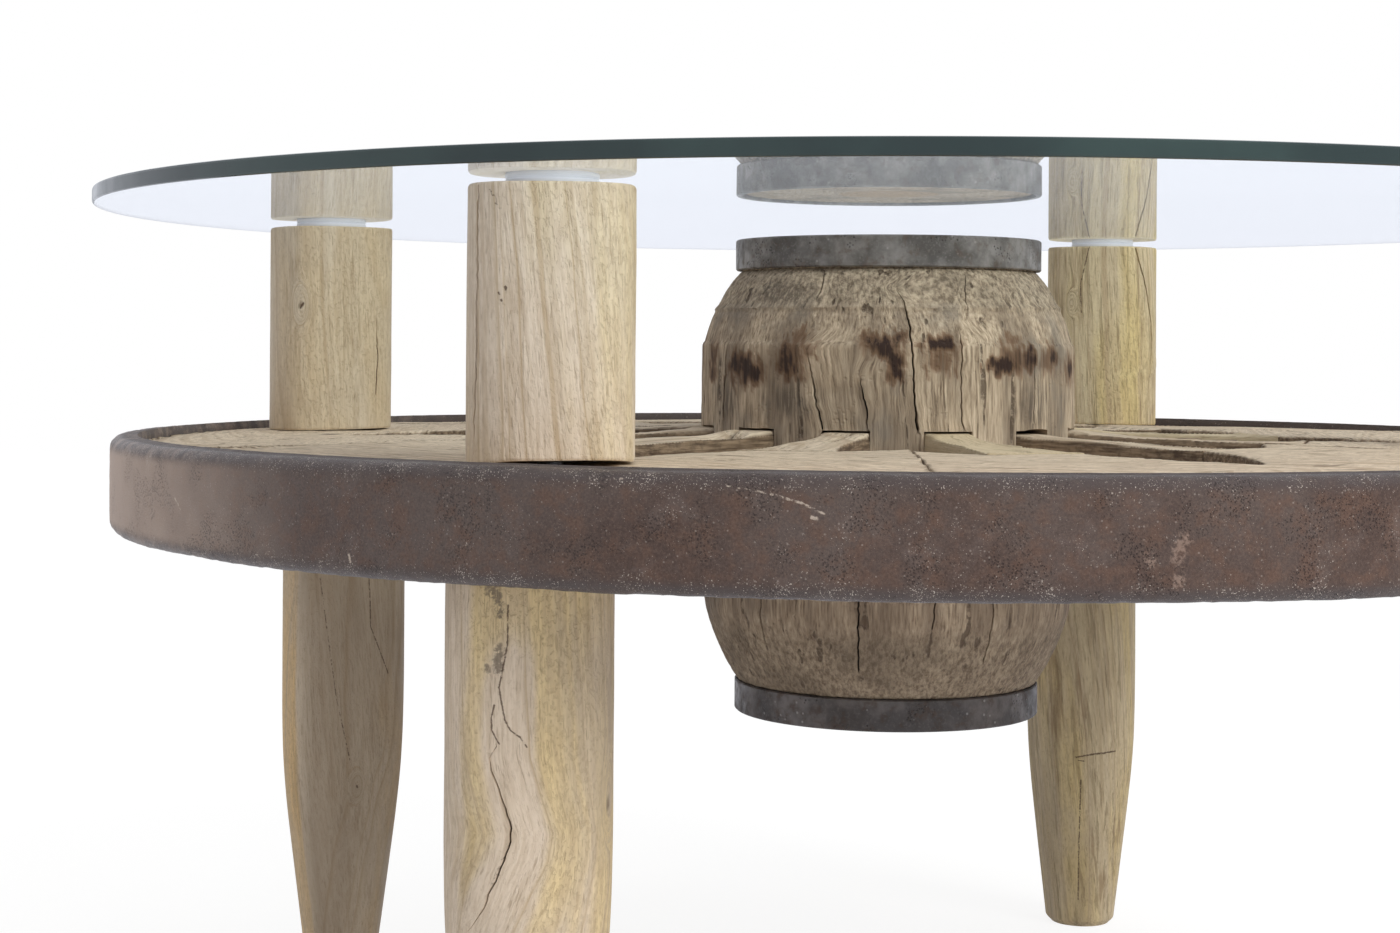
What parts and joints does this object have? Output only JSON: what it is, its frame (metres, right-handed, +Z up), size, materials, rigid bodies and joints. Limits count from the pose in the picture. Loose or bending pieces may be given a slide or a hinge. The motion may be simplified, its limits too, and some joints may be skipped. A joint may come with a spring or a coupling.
{
  "type": "wagon wheel table",
  "caption": "Low round coffee table: an old spoked cart wheel laid flat on tapered wooden legs, with posts on the wheel that carry a loose round glass top.",
  "frame": {"origin": "on the floor, under the middle of the hub", "axes": "+Z is up, -Y is the front of the table as the picture shows it, +X is to the right"},
  "size_m": [0.8999, 0.9, 0.487],
  "materials": {
    "glass": "clear float glass, dark green at the edge",
    "clear_pad": "clear soft plastic disc",
    "tyre_iron": "forged iron, dark rust, waxed",
    "band_iron": "old iron, dull grey",
    "hub_wood": "weathered hardwood, checked and stained",
    "wheel_wood": "old hardwood, top sanded",
    "leg_wood": "pale hardwood, sanded and waxed",
    "stud_steel": "plain steel"
  },
  "bodies": {
    "table_base": {"iron_tyre": "tyre_iron", "hub": "hub_wood", "axle_hole_plug": "hub_wood", "hub_band_upper": "band_iron", "hub_band_lower": "band_iron", "felloe_tenons": "wheel_wood", "leg_studs": "stud_steel", "glass_pads": "clear_pad", "felloe_1": "wheel_wood", "felloe_2": "wheel_wood", "felloe_3": "wheel_wood", "felloe_4": "wheel_wood", "felloe_5": "wheel_wood", "felloe_6": "wheel_wood", "spoke_1": "wheel_wood", "spoke_2": "wheel_wood", "spoke_3": "wheel_wood", "spoke_4": "wheel_wood", "spoke_5": "wheel_wood", "spoke_6": "wheel_wood", "spoke_7": "wheel_wood", "spoke_8": "wheel_wood", "spoke_9": "wheel_wood", "spoke_10": "wheel_wood", "spoke_11": "wheel_wood", "spoke_12": "wheel_wood", "upper_post_front_left": "leg_wood", "lower_leg_front_left": "leg_wood", "upper_post_front_right": "leg_wood", "lower_leg_front_right": "leg_wood", "upper_post_rear_right": "leg_wood", "lower_leg_rear_right": "leg_wood", "upper_post_rear_left": "leg_wood", "lower_leg_rear_left": "leg_wood"},
    "glass_top": {"glass_top": "glass"}
  },
  "joints": [
    {"name": "glass_lift", "type": "slide", "parent": "table_base", "child": "glass_top", "axis": [0, 0, 1], "range_m": [0, 0.2]}
  ]
}
